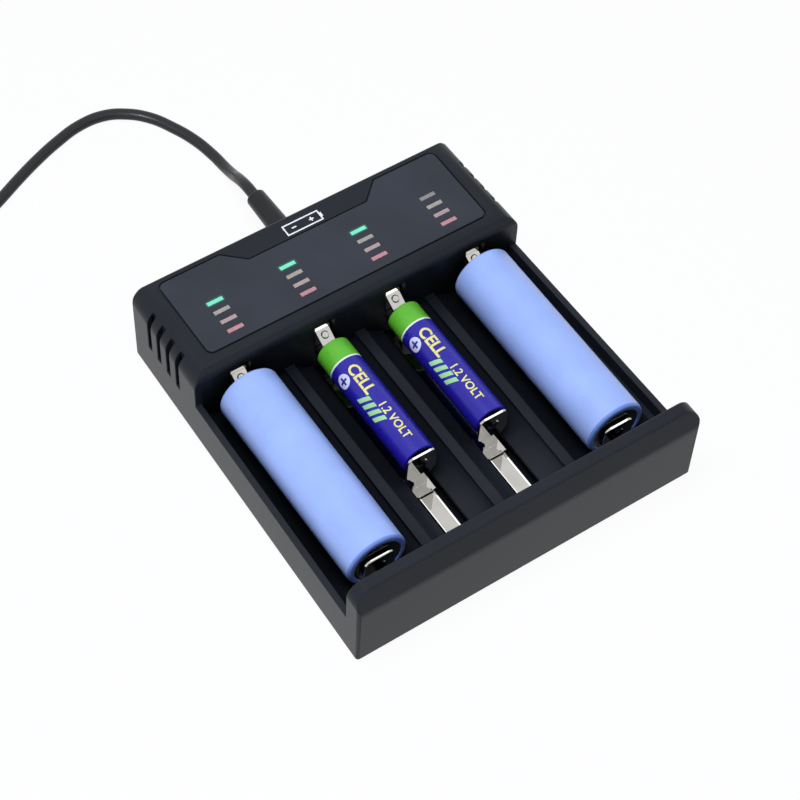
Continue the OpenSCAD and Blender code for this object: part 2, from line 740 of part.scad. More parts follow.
module rubber_feet() color("#1a1a1b") {
  round_r = 0.4;
  for (s = [-1, 1]) for (t = [-1, 1]) translate([s * pad_place[0], t * pad_place[1], 0])
    rotate_extrude() polygon(concat([[0, 0], [pad_r - 0.1 - round_r, 0]],
      arc([pad_r - 0.1 - round_r, round_r], round_r, -90, 0, 4),
      [[pad_r - 0.1, foot_h + pad_seat], [0, foot_h + pad_seat]]));
}

// A cell turned about its axis, with its negative end at the front
module cell_at(i, d) {
  translate([bay_x[i], cell_end[i], contact_h]) rotate([-90, 0, 0]) rotate_extrude($fn = 64) children();
}

// A large cell: a wrapped can with a flat disc at each end
module large_cell(i) color("#a2b8f0") {
  r = large_cell_d / 2;
  lip = 0.2;
  edge = 0.9;
  cap_h = 0.35;
  body_l = large_cell_l - cap_h;
  cell_at(i) polygon(concat([[0, lip], [r - 1.9, lip], [r - 1.9, 0]],
    arc([r - edge, edge], edge, -90, 0, 6), arc([r - edge, body_l - edge], edge, 0, 90, 6),
    [[4.2, body_l], [4.2, large_cell_l], [0, large_cell_l]]));
}

// A small cell: a wrapped can with a button at its positive end
module small_cell(i) color("#2a2496") {
  r = small_cell_d / 2;
  edge = 0.7;
  button_r = 1.9;
  button_h = 1;
  body_l = small_cell_l - button_h;
  cell_at(i) polygon(concat([[0, 0], [r - edge, 0]], arc([r - edge, edge], edge, -90, 0, 6),
    arc([r - edge, body_l - edge], edge, 0, 90, 6),
    [[button_r, body_l], [button_r, small_cell_l], [0, small_cell_l]]));
}

// Tapered strain relief with a rounded tip, a collar at the housing and a flange inside it
module strain_relief() color("#1c1d1f") {
  r0 = relief_base_d / 2;
  r1 = relief_tip_d / 2;
  collar_r = r0 + 1;
  collar_h = 1.4;
  flange_h = 1.4;
  tip_r = 0.8;
  translate([outlet_x, y_rear, outlet_h]) rotate([-90, 0, 0]) rotate_extrude() polygon(concat(
    [[0, -wall - flange_h], [r0 + 0.6, -wall - flange_h], [r0 + 0.6, -wall], [r0 - 0.6, -wall],
     [r0 - 0.6, 0],
     [collar_r, 0], [collar_r, collar_h], [r0, collar_h]],
    arc([r1 - tip_r, relief_l - tip_r], tip_r, 0, 90, 5), [[0, relief_l]]));
}

module cord() color("#1a1b1d") {
  tube(route, cord_r, 8, [0, 0, 1]);
  tube(tail, cord_r, 8, [0, 0, 1]);
}

// Outer shape of the coiled lead
module cord_coil() color("#1a1b1d") {
  round_r = cord_r;
  translate([coil_centre[0], coil_centre[1], coil_z]) rotate_extrude($fn = 72)
    translate([coil_mid_r, 0]) polygon(concat(
      arc([coil_half - round_r, -coil_half + round_r], round_r, -90, 0, 4),
      arc([coil_half - round_r, coil_half - round_r], round_r, 0, 90, 4),
      arc([-coil_half + round_r, coil_half - round_r], round_r, 90, 180, 4),
      arc([-coil_half + round_r, -coil_half + round_r], round_r, 180, 270, 4)));
}

// A strip tie round one side of the coil
module cord_tie() color("#2a2a2c") {
  tie_w = 5;
  gap = 0.2;
  a = coil_half + gap;
  b = coil_half + tie_t;
  translate([coil_centre[0], coil_centre[1], coil_z]) rotate(120) translate([coil_mid_r, 0, 0])
  difference() {
    block([-b - gap, -tie_w / 2, -b], [b + gap, tie_w / 2, b]);
    block([-a, -tie_w, -coil_half], [a, tie_w, coil_half]);
  }
}

// Moulded body of the plug, with a tapered neck on the lead's side
module usb_plug_body() color("#1c1d1f") {
  corner = 2;
  w = plug_w / 2;
  t = plug_t / 2;
  neck_r = 3;
  translate(plug_at) rotate([0, 0, 90]) {
    along_y(plug_neck_l, plug_neck_l + plug_l) polygon(concat(
      arc([w - corner, -t + corner], corner, -90, 0, 5), arc([w - corner, t - corner], corner, 0, 90, 5),
      arc([-w + corner, t - corner], corner, 90, 180, 5),
      arc([-w + corner, -t + corner], corner, 180, 270, 5)));
    rotate([-90, 0, 0]) cylinder(h = plug_neck_l + eps, r1 = cord_r + 0.5, r2 = neck_r);
  }
}

// Folded metal shell of the plug, with its two latch windows on each broad side
module usb_shell() color("#c4c7cb") {
  y0 = plug_neck_l + plug_l;
  window = 2.2;
  translate(plug_at) rotate([0, 0, 90]) difference() {
    block([-shell_w / 2, y0, -shell_t / 2], [shell_w / 2, y0 + shell_l, shell_t / 2]);
    block([-shell_w / 2 + shell_sheet, y0 + 1, -shell_t / 2 + shell_sheet],
          [shell_w / 2 - shell_sheet, y0 + shell_l + 1, shell_t / 2 - shell_sheet]);
    for (x = [-1, 1]) translate([x * shell_w / 4, y0 + shell_l * 0.42, 0])
      cube([window, window, shell_t + 2], center = true);
  }
}

module usb_tongue() color("#2b2c30") {
  y0 = plug_neck_l + plug_l + 1;
  translate(plug_at) rotate([0, 0, 90])
    block([-shell_w / 2 + shell_sheet, y0, -shell_t / 2 + shell_sheet],
          [shell_w / 2 - shell_sheet, y0 + shell_l - 1.8, -0.1]);
}

upper_housing();
base_cover();
led_panel();
main_board();
led_chips();
board_parts();
board_screws();
housing_screws();
rubber_feet();
for (i = [0 : 3]) {
  light_guide(i);
  positive_contact(i);
  slider_rail(i);
  slider(i);
  slider_spring(i);
}
large_cell(0);  // large_cell_left
small_cell(1);  // small_cell_left
small_cell(2);  // small_cell_right
large_cell(3);  // large_cell_right
strain_relief();
cord();
cord_coil();
cord_tie();
usb_plug_body();
usb_shell();
usb_tongue();
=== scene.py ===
import json
import math
import bmesh
import bpy
from mathutils import Matrix, Vector


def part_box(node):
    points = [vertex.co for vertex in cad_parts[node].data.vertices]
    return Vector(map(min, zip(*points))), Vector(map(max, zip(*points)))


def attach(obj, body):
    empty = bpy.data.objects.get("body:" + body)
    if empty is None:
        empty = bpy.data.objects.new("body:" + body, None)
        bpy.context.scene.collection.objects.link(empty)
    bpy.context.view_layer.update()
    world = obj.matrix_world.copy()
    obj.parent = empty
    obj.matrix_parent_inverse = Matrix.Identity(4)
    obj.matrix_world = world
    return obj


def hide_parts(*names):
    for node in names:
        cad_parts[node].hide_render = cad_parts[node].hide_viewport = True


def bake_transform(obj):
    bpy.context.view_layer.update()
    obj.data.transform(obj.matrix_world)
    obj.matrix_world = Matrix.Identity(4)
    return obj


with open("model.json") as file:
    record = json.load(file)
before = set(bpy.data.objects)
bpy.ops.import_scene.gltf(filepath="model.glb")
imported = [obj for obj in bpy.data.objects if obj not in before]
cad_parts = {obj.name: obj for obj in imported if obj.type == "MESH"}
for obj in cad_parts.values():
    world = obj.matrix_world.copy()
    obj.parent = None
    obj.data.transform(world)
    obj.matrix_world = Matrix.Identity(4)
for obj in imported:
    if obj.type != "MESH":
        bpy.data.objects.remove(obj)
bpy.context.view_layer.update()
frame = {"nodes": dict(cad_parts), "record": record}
nodes = frame["nodes"]
bodyOf = {n: b for b, members in frame["record"]["behaviour"]["bodies"].items() for n in members}
mm = 0.001
sameLevel = 1e-5  # m: points closer than this lie on one level
bays = (1, 2, 3, 4)
innerBays = (2, 3)
print("frame:", len(nodes), "CAD nodes")


# camera, from a fit to the photograph
cameraSet = {
    "azimuth": -36.305, "elevation": 54.705, "roll": 3.107,  # degrees
    "distance": 0.65068, "target": (-0.004174, -0.0024, 0.013085),
    "focalPixels": 2352.6, "imageWidth": 800, "sensorWidth": 36.0,
}


def placeCamera(s):
    a, e, r = (math.radians(s[k]) for k in ("azimuth", "elevation", "roll"))
    back = Vector((math.sin(a) * math.cos(e), -math.cos(a) * math.cos(e), math.sin(e)))
    level = Vector((math.cos(a), math.sin(a), 0))
    rise = back.cross(level)
    right = level * math.cos(r) + rise * math.sin(r)
    up = rise * math.cos(r) - level * math.sin(r)
    data = bpy.data.cameras.new("camera")
    data.sensor_width = s["sensorWidth"]
    data.lens = s["focalPixels"] / s["imageWidth"] * s["sensorWidth"]
    data.clip_start = 0.01
    camera = bpy.data.objects.new("camera", data)
    turn = Matrix((right, up, back)).transposed().to_4x4()
    camera.matrix_world = Matrix.Translation(Vector(s["target"]) + back * s["distance"]) @ turn
    bpy.context.scene.collection.objects.link(camera)
    bpy.context.scene.camera = camera


placeCamera(cameraSet)
print("camera placed")


# small helpers for meshes and pieces
def addPiece(name, data, body):
    piece = bpy.data.objects.new(name, data)
    bpy.context.scene.collection.objects.link(piece)
    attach(piece, body)
    return piece


def paint(piece, *materials):
    slots = piece.data.materials
    for k, m in enumerate(materials):
        if k < len(slots):
            slots[k] = m
        else:
            slots.append(m)


def smoothByAngle(mesh, degrees=35):
    for p in mesh.polygons:
        p.use_smooth = True
    mesh.set_sharp_from_angle(angle=math.radians(degrees))


def meshFrom(name, bm, outward=True):
    mesh = bpy.data.meshes.new(name)
    if outward:
        bmesh.ops.recalc_face_normals(bm, faces=bm.faces)
    bm.to_mesh(mesh)
    bm.free()
    return mesh


# a CAD solid's own faces, with flat ones joined
cleanSet = {"weldWithin": 1e-6, "flatDegrees": 0.5}


def cleanSolid(node, s):
    bm = bmesh.new()
    bm.from_mesh(nodes[node].data)
    bmesh.ops.remove_doubles(bm, verts=bm.verts, dist=s["weldWithin"])
    flat = math.radians(s["flatDegrees"])
    bmesh.ops.dissolve_limit(bm, angle_limit=flat, verts=bm.verts, edges=bm.edges)
    return bm


# a copy of a CAD solid with its hard edges softened
def softenedCopy(node, material, width, segments=2, degrees=38, shape=None):
    bm = cleanSolid(node, cleanSet)
    if shape:
        shape(bm)
    mesh = meshFrom(node + "_look", bm)
    smoothByAngle(mesh, degrees)
    piece = addPiece(node + "_look", mesh, bodyOf[node])
    if width:
        edge = piece.modifiers.new("edges", "BEVEL")
        edge.width = width * mm
        edge.segments = segments
        edge.limit_method = "ANGLE"
        edge.angle_limit = math.radians(degrees)
        edge.use_clamp_overlap = False
    even = piece.modifiers.new("even normals", "WEIGHTED_NORMAL")
    even.keep_sharp = not width
    paint(piece, material)
    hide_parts(node)
    return piece


# a turned piece along Y: each profile point has its place along, its radius, in mm,
# and the material of the band that ends there
def turned(name, profile, origin, segments=96):
    bm = bmesh.new()
    rings = []
    for along, radius, material in profile:
        count = segments if radius > 0 else 1
        ring = []
        for k in range(count):
            a = 2 * math.pi * k / count
            spot = Vector((radius * math.cos(a), along, radius * math.sin(a)))
            ring.append(bm.verts.new(origin + spot * mm))
        rings.append(ring)
    for first, second, point in zip(rings, rings[1:], profile[1:]):
        for k in range(segments):
            m = k + 1
            corners = [first[k % len(first)], first[m % len(first)],
                       second[m % len(second)], second[k % len(second)]]
            bm.faces.new(list(dict.fromkeys(corners))).material_index = point[2]
    mesh = meshFrom(name, bm)
    smoothByAngle(mesh, degrees=40)
    return mesh


# a round edge in such a profile, from one angle to another
def rounded(along, radius, r, start, end, material, steps=6):
    found = []
    for k in range(steps + 1):
        a = math.radians(start + (end - start) * k / steps)
        found.append((along + r * math.cos(a), radius + r * math.sin(a), material))
    return found


# faces between rings of points, with both ends closed
def skinRings(bm, rings):
    count = len(rings[0])
    for first, second in zip(rings, rings[1:]):
        for k in range(count):
            m = (k + 1) % count
            bm.faces.new((first[k], first[m], second[m], second[k]))
    bm.faces.new(rings[0])
    bm.faces.new(rings[-1])


# a round wire along a path
def wireMesh(name, path, radius, sides=8):
    bm = bmesh.new()
    rings = []
    side = Vector((0, 0, 1))
    turns = [2 * math.pi * k / sides for k in range(sides)]
    for i, p in enumerate(path):
        ahead = (path[min(i + 1, len(path) - 1)] - path[max(i - 1, 0)]).normalized()
        side = (side - ahead * side.dot(ahead)).normalized()
        other = ahead.cross(side)
        spots = [p + (side * math.cos(a) + other * math.sin(a)) * radius for a in turns]
        rings.append([bm.verts.new(spot) for spot in spots])
    skinRings(bm, rings)
    mesh = meshFrom(name, bm)
    smoothByAngle(mesh, degrees=50)
    return mesh


# plain lettering as a flat mesh in X and Y, centred, with its capitals of the given height in mm
letterSet = {"capitalShare": 0.7, "curveSteps": 4}  # a capital's share of the font's size


def letterMesh(words, height, bold):
    curve = bpy.data.curves.new("letters", "FONT")
    curve.body = words
    curve.offset = bold * mm
    curve.size = height * mm / letterSet["capitalShare"]
    curve.align_x = "CENTER"
    curve.align_y = "CENTER"
    curve.resolution_u = letterSet["curveSteps"]
    holder = bpy.data.objects.new("letters", curve)
    bpy.context.scene.collection.objects.link(holder)
    bpy.context.view_layer.update()
    solved = holder.evaluated_get(bpy.context.evaluated_depsgraph_get())
    mesh = bpy.data.meshes.new_from_object(solved)
    bpy.data.objects.remove(holder)
    return mesh


# print that lies on a cell: X of the flat mesh runs towards the cell's front end, and Y round it
def wrapOnCell(mesh, cell, along, degrees, lift, cuts=16):
    low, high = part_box(cell)
    axis = (low + high) / 2
    radius = (high.x - low.x) / 2 + lift * mm
    bm = bmesh.new()
    bm.from_mesh(mesh)
    top = max(v.co.y for v in bm.verts)
    bottom = min(v.co.y for v in bm.verts)
    for k in range(1, cuts):
        level = bottom + (top - bottom) * k / cuts
        bmesh.ops.bisect_plane(bm, geom=bm.verts[:] + bm.edges[:] + bm.faces[:],
                               plane_co=(0, level, 0), plane_no=(0, 1, 0))
    for v in bm.verts:
        a = math.radians(degrees) + v.co.y / radius
        v.co = (axis.x + radius * math.sin(a), low.y + along * mm - v.co.x, axis.z + radius * math.cos(a))
    bm.to_mesh(mesh)
    bm.free()
    for p in mesh.polygons:
        p.use_smooth = True
    return mesh


# flat shapes in X and Y, in mm, joined into one mesh
def flatShapes(name, outlines, z=0.0):
    bm = bmesh.new()
    for outline in outlines:
        bm.faces.new([bm.verts.new((x * mm, y * mm, z * mm)) for x, y in outline])
    return meshFrom(name, bm, outward=False)


def boxOutline(x, y, w, h):
    left, right, front, rear = x - w / 2, x + w / 2, y - h / 2, y + h / 2
    return [(left, front), (right, front), (right, rear), (left, rear)]


# a plus sign: one bar across, and a half bar on each side of it
def plusOutlines(x, y, length, line):
    step, half = (length + line) / 4, (length - line) / 2
    return [boxOutline(x, y, length, line), boxOutline(x, y + step, line, half),
            boxOutline(x, y - step, line, half)]


# node helpers for the materials
def newMaterial(name):
    m = bpy.data.materials.new(name)
    m.use_nodes = True
    return m, m.node_tree, m.node_tree.nodes["Principled BSDF"]


def addNode(tree, kind, **sockets):
    n = tree.nodes.new(kind)
    for key, value in sockets.items():
        name = key.replace("_", " ")
        if isinstance(value, bpy.types.NodeSocket):
            tree.links.new(value, n.inputs[name])
        else:
            n.inputs[name].default_value = value
    return n


def objectPlace(tree):
    return tree.nodes.new("ShaderNodeTexCoord").outputs["Object"]


def noise(tree, scale, detail=3.0, roughness=0.5, place=None):
    place = place or objectPlace(tree)
    n = addNode(tree, "ShaderNodeTexNoise", Scale=scale, Detail=detail, Roughness=roughness, Vector=place)
    return n.outputs["Fac"]


def between(tree, fac, low, high, fromLow=0.3, fromHigh=0.7):
    n = addNode(tree, "ShaderNodeMapRange", Value=fac)
    n.inputs["From Min"].default_value = fromLow
    n.inputs["From Max"].default_value = fromHigh
    n.inputs["To Min"].default_value = low
    n.inputs["To Max"].default_value = high
    return n.outputs["Result"]


def ramp(tree, fac, stops, interpolation="LINEAR"):
    n = addNode(tree, "ShaderNodeValToRGB", Fac=fac)
    n.color_ramp.interpolation = interpolation
    marks = n.color_ramp.elements
    while len(marks) < len(stops):
        marks.new(0.5)
    for mark, (position, colour) in zip(marks, stops):
        mark.position = position
        mark.color = (*colour, 1)
    return n.outputs["Color"]


def bump(tree, shader, height, strength, distance):
    n = addNode(tree, "ShaderNodeBump", Height=height, Strength=strength, Distance=distance)
    tree.links.new(n.outputs["Normal"], shader.inputs["Normal"])


def link(tree, output, shader, socket):
    tree.links.new(output, shader.inputs[socket])


def joined(tree, operation, first, second):
    n = tree.nodes.new("ShaderNodeMath")
    n.operation = operation
    for socket, value in zip(n.inputs, (first, second)):
        if isinstance(value, bpy.types.NodeSocket):
            tree.links.new(value, socket)
        else:
            socket.default_value = value
    return n.outputs[0]


# 1 within a box across X and Y, in mm, and 0 outside it
def insideBox(tree, place, low, high):
    parts = addNode(tree, "ShaderNodeSeparateXYZ", Vector=place).outputs
    total = 1.0
    for axis, least, most in zip(("X", "Y"), low, high):
        above = joined(tree, "GREATER_THAN", parts[axis], least * mm)
        below = joined(tree, "LESS_THAN", parts[axis], most * mm)
        total = joined(tree, "MULTIPLY", total, joined(tree, "MULTIPLY", above, below))
    return total


def mixed(tree, share, first, second, end):
    mix = tree.nodes.new("ShaderNodeMixShader")
    for socket, output in zip(mix.inputs, (share, first.outputs[0], second.outputs[0])):
        tree.links.new(output, socket)
    tree.links.new(mix.outputs[0], tree.nodes[end].inputs["Surface"])


def shaded(colour, factor):
    return tuple(min(1.0, c * factor) for c in colour)


def hexColour(text):
    parts = [int(text[i:i + 2], 16) / 255 for i in (0, 2, 4)]
    return tuple(c / 12.92 if c <= 0.04045 else ((c + 0.055) / 1.055) ** 2.4 for c in parts)


# moulded plastic with a fine spark-eroded grain; deep in the tray its colour and shine are darkened by
# ambient occlusion, as painted shade
def mouldedPlastic(name, colour, roughness, shine=0.3, grain=0.00022, depth=0.00003,
                   drift=0.12, paintedRecessShade=None):
    m, tree, shader = newMaterial(name)
    place = objectPlace(tree)
    cloud = noise(tree, 60, detail=2.0, place=place)
    shade = ramp(tree, cloud, [(0.3, shaded(colour, 1 - drift)), (0.7, shaded(colour, 1 + drift))])
    fine = noise(tree, 1 / grain, detail=2.0, roughness=0.6, place=place)
    link(tree, between(tree, fine, roughness - 0.05, roughness + 0.05), shader, "Roughness")
    bump(tree, shader, fine, strength=0.3, distance=depth)
    shader.inputs["Specular IOR Level"].default_value = shine
    if paintedRecessShade:
        # painted shade: inside the tray, ambient occlusion darkens the plastic's colour and cuts its
        # shine
        around = addNode(tree, "ShaderNodeAmbientOcclusion", Distance=paintedRecessShade["depth"] * mm)
        around.samples = paintedRecessShade["samples"]
        inTray = insideBox(tree, place, paintedRecessShade["low"], paintedRecessShade["high"])
        share = joined(tree, "MULTIPLY", inTray, joined(tree, "SUBTRACT", 1.0, around.outputs["AO"]))
        openness = joined(tree, "SUBTRACT", 1.0, share)
        link(tree, joined(tree, "MULTIPLY", openness, shine), shader, "Specular IOR Level")
        paintedShadeNode = addNode(tree, "ShaderNodeVectorMath")
        paintedShadeNode.operation = "SCALE"
        tree.links.new(shade, paintedShadeNode.inputs[0])
        tree.links.new(openness, paintedShadeNode.inputs["Scale"])
        shade = paintedShadeNode.outputs["Vector"]
    link(tree, shade, shader, "Base Color")
    return m


# bright plated metal with faint drawing marks
def platedMetal(name, colour, roughness, marks=300):
    m, tree, shader = newMaterial(name)
    place = objectPlace(tree)
    stretch = addNode(tree, "ShaderNodeMapping", Vector=place)
    stretch.inputs["Scale"].default_value = (1, 0.06, 1)
    lines = noise(tree, marks, detail=2.0, place=stretch.outputs["Vector"])
    cloud = noise(tree, 120, roughness=0.55, place=place)
    link(tree, ramp(tree, cloud, [(0.35, shaded(colour, 0.85)), (0.65, colour)]), shader, "Base Color")
    link(tree, between(tree, lines, roughness * 0.7, roughness * 1.4), shader, "Roughness")
    shader.inputs["Metallic"].default_value = 1.0
    return m


# shrink wrap: coloured film with slight ripples and a soft gloss
def shrinkWrap(name, colour, roughness=0.36, drift=0.05):
    m, tree, shader = newMaterial(name)
    place = objectPlace(tree)
    cloud = noise(tree, 90, place=place)
    shades = [(0.35, shaded(colour, 1 - drift)), (0.65, shaded(colour, 1 + drift))]
    link(tree, ramp(tree, cloud, shades), shader, "Base Color")
    fine = noise(tree, 700, place=place)
    link(tree, between(tree, fine, roughness - 0.05, roughness + 0.05), shader, "Roughness")
    bump(tree, shader, cloud, strength=0.1, distance=0.00006)
    return m


# soft rubber, also for the cable's jacket and the tie
def rubber(name, colour, roughness, shine=0.4):
    m, tree, shader = newMaterial(name)
    place = objectPlace(tree)
    cloud = noise(tree, 150, place=place)
    fine = noise(tree, 2600, detail=2.0, place=place)
    link(tree, ramp(tree, cloud, [(0.3, shaded(colour, 0.85)), (0.7, colour)]), shader, "Base Color")
    link(tree, between(tree, fine, roughness - 0.05, roughness + 0.07), shader, "Roughness")
    bump(tree, shader, fine, strength=0.2, distance=0.00002)
    shader.inputs["Specular IOR Level"].default_value = shine
    return m


# a light bar's milky end, lit or unlit, and plain white print
def lightBar(name, colour, glow):
    m, tree, shader = newMaterial(name)
    cloud = noise(tree, 900, detail=2.0)
    link(tree, ramp(tree, cloud, [(0.3, shaded(colour, 0.85)), (0.7, colour)]), shader, "Base Color")
    shader.inputs["Emission Color"].default_value = (*colour, 1)
    shader.inputs["Emission Strength"].default_value = glow
    shader.inputs["Roughness"].default_value = 0.35
    return m


# the tray's place, where the black plastic gets painted shade, and how far its walls darken each other
trayShadeSet = {"depth": 14, "low": (-51.6, -53.6), "high": (51.6, 24.6), "samples": 6}  # mm
black = mouldedPlastic("black housing plastic", (0.0112, 0.0132, 0.0176), 0.36, 0.175, paintedRecessShade=trayShadeSet)
greyPanel = mouldedPlastic("grey panel plastic", (0.0305, 0.0340, 0.0435), 0.38, 0.17, grain=0.00016)
nickel = platedMetal("nickel plate", (0.62, 0.61, 0.58), 0.05)
springSteel = platedMetal("drawn spring wire", (0.5, 0.5, 0.5), 0.22)
zinc = platedMetal("zinc plated screw", (0.52, 0.53, 0.55), 0.28)
canSteel = platedMetal("plated cell can", (0.5, 0.49, 0.47), 0.18)
gold = platedMetal("gilt contact", (0.8, 0.6, 0.25), 0.2)
blueWrap = shrinkWrap("pale blue wrap", hexColour("9ab2ec"))
# darker blue for the front fold: partly the wrap's double layer, partly painted shade
blueFoldAndShade = shrinkWrap("folded end of the blue wrap, darkened as painted shade", hexColour("6f8bd2"))
violetWrap = shrinkWrap("violet wrap", hexColour("1f1790"), 0.3)
greenWrap = shrinkWrap("green wrap band", hexColour("5cb030"), 0.3)
whiteRing = shrinkWrap("white ring", hexColour("e6ecdf"), 0.35)
yellowPrint = shrinkWrap("yellow print", hexColour("e6de84"), 0.4)
palePrint = shrinkWrap("pale print", hexColour("d5d8ee"), 0.4)
leafPrint = shrinkWrap("light green print", hexColour("9fd79a"), 0.35, 0.15)
insulator = shrinkWrap("paper insulator", hexColour("e8e6dc"), 0.6)
footRubber = rubber("foot rubber", (0.018, 0.018, 0.018), 0.75)
jacket = rubber("cable jacket", (0.012, 0.0125, 0.0135), 0.3, 0.27)
boardGreen = mouldedPlastic("board resist", (0.012, 0.09, 0.035), 0.35)
chipBlack = mouldedPlastic("chip body", (0.02, 0.02, 0.022), 0.55)
chipResin = mouldedPlastic("light chip resin", (0.7, 0.66, 0.5), 0.3)
greenLit = lightBar("lit green bar", (0.13, 0.52, 0.36), 0.55)
greenGlow = lightBar("green glow round a lit bar", (0.006, 0.07, 0.045), 0.2)
coolGrey = lightBar("unlit cool grey bar", hexColour("868484"), 0.0)
warmGrey = lightBar("unlit warm grey bar", hexColour("9e9a8e"), 0.0)
pinkGrey = lightBar("unlit pink grey bar", hexColour("aa9492"), 0.0)
redGrey = lightBar("unlit pink bar", hexColour("b88489"), 0.0)
guideClear = lightBar("guide body", (0.5, 0.5, 0.48), 0.0)
whitePrint = lightBar("white pad print", (0.85, 0.85, 0.85), 0.0)
tieWeave = rubber("tie strip", (0.02, 0.02, 0.021), 0.8)
print("materials:", len(bpy.data.materials))


# hidden nodes keep their CAD shape
for node, material in (
    ("main_board", boardGreen), ("led_chips", chipResin),
    ("board_parts", chipBlack), ("board_screws", zinc),
):
    paint(nodes[node], material)

# housing: fine rounded edges, and a soft crease across the front wall
housingSet = {
    "edge": 0.22, "coverEdge": 0.2, "screwEdge": 0.1, "panelEdge": 0.1, "panelGap": 0.16,  # mm
    "creaseHeight": 24.0, "creaseWidth": 2.4,
    "pocketTop": 21.0, "pocketRise": 3.2, "pocketFrom": 23.9,
    "barsAcross": (11.8, 35.4), "barsHalf": 4, "barsFrom": 30, "barsTo": 46,  # the light bars' holes
}


# cuts beside the crease, so that the shading turns over a narrow band
def softenCrease(bm):
    front = min(v.co.y for v in bm.verts)
    level = housingSet["creaseHeight"] * mm
    for side in (-1, 1):
        faces = {f for e in bm.edges for f in e.link_faces
                 if all(abs(v.co.z - level) < sameLevel and abs(v.co.y - front) < sameLevel
                        for v in e.verts)}
        parts = faces | {e for f in faces for e in f.edges} | {v for f in faces for v in f.verts}
        cut = Vector((0, 0, level + side * housingSet["creaseWidth"] * mm))
        bmesh.ops.bisect_plane(bm, geom=list(parts), dist=1e-7, plane_co=cut, plane_no=(0, 0, 1))


# the contact pockets' openings raised, and the crease
def shapeHousing(bm):
    s = housingSet
    for v in bm.verts:
        if abs(v.co.z - s["pocketTop"] * mm) < sameLevel and v.co.y > s["pocketFrom"] * mm:
            v.co.z += s["pocketRise"] * mm
    softenCrease(bm)


# the panel's outline drawn in, with the light bars' holes as they are
def openPanelGap(bm):
    s = housingSet
    bm.normal_update()
    moves = {}
    for f in bm.faces:
        middle = f.calc_center_median() / mm
        nearBars = any(abs(abs(middle.x) - across) < s["barsHalf"] for across in s["barsAcross"])
        inBars = nearBars and s["barsFrom"] < middle.y < s["barsTo"]
        upright = abs(f.normal.z) < 0.1
        if upright and not inBars:
            for v in f.verts:
                moves[v] = moves.get(v, Vector()) - f.normal * s["panelGap"] * mm
    for v, move in moves.items():
        v.co += move


softenedCopy("upper_housing", black, housingSet["edge"], shape=shapeHousing)
softenedCopy("base_cover", black, housingSet["coverEdge"])
softenedCopy("led_panel", greyPanel, housingSet["panelEdge"], shape=openPanelGap)
softenedCopy("housing_screws", zinc, housingSet["screwEdge"])
softenedCopy("rubber_feet", footRubber, 0)
print("housing dressed")


# light bars: lit or unlit, rear to front, each in its own material
lightSet = {
    "rearBar": 43.6, "pitch": 3.62, "barLength": 5.0, "barWidth": 1.35, "barEdge": 0.1,  # mm
    "barDepth": 2, "glowMargin": 0.42, "glowLift": 0.012,
    "lit": (greenLit, warmGrey, pinkGrey, redGrey),
    "unlit": (coolGrey, warmGrey, pinkGrey, redGrey), "unlitBay": 4,
}


def makeLightGroup(i, s):
    node = f"light_guide_{i}"
    bars = s["unlit"] if i == s["unlitBay"] else s["lit"]
    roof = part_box(node)[1].z - s["barDepth"] * mm

    def colourBars(bm):
        for f in bm.faces:
            middle = f.calc_center_median()
            if middle.z > roof:
                row = round((s["rearBar"] * mm - middle.y) / (s["pitch"] * mm))
                f.material_index = 1 + min(len(bars) - 1, max(0, row))

    piece = softenedCopy(node, guideClear, s["barEdge"], shape=colourBars)
    paint(piece, guideClear, *bars)


# a thin frame of glow round the lit bar
def makeGlow(i, s):
    name = f"light_glow_{i}"
    low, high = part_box(f"light_guide_{i}")
    x = (low.x + high.x) / 2 / mm
    left, right = x - s["barLength"] / 2, x + s["barLength"] / 2
    front, rear = s["rearBar"] - s["barWidth"] / 2, s["rearBar"] + s["barWidth"] / 2
    g = s["glowMargin"]
    frameSides = [
        [(left - g, rear), (left, rear + g), (right, rear + g),
         (right + g, rear), (right, rear), (left, rear)],
        [(left, front), (right, front), (right + g, front),
         (right, front - g), (left, front - g), (left - g, front)],
        [(left - g, front), (left, front), (left, rear), (left - g, rear)],
        [(right, front), (right + g, front), (right + g, rear), (right, rear)],
    ]
    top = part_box("led_panel")[1].z / mm + s["glowLift"]
    piece = addPiece(name, flatShapes(name, frameSides, top), "charger")
    paint(piece, greenGlow)


for i in bays:
    makeLightGroup(i, lightSet)
    if i != lightSet["unlitBay"]:
        makeGlow(i, lightSet)
print("light bars coloured")


# a plain battery sign in the panel's notch
signSet = {
    "x": 0.0, "y": 54.3, "length": 11.5, "height": 3.5, "line": 0.45,  # mm
    "poleShare": 0.45, "markLength": 1.5, "notchDepth": 0.1, "lift": 0.012,
}


def makeSign(s):
    x, y, w, h, t, mark = (s[k] for k in ("x", "y", "length", "height", "line", "markLength"))
    outlines = [
        boxOutline(x, y + h / 2, w + t, t), boxOutline(x, y - h / 2, w + t, t),
        boxOutline(x - w / 2, y, t, h - t), boxOutline(x + w / 2, y, t, h - t),
        boxOutline(x + w / 2 + t, y, t, h * s["poleShare"]),
        *plusOutlines(x + w / 4, y, mark, t),
        boxOutline(x - w / 4, y, mark, t),
    ]
    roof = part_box("led_panel")[1].z / mm - s["notchDepth"] + s["lift"]
    piece = addPiece("battery_sign", flatShapes("battery_sign", outlines, roof), "charger")
    paint(piece, whitePrint)


makeSign(signSet)
print("sign printed")


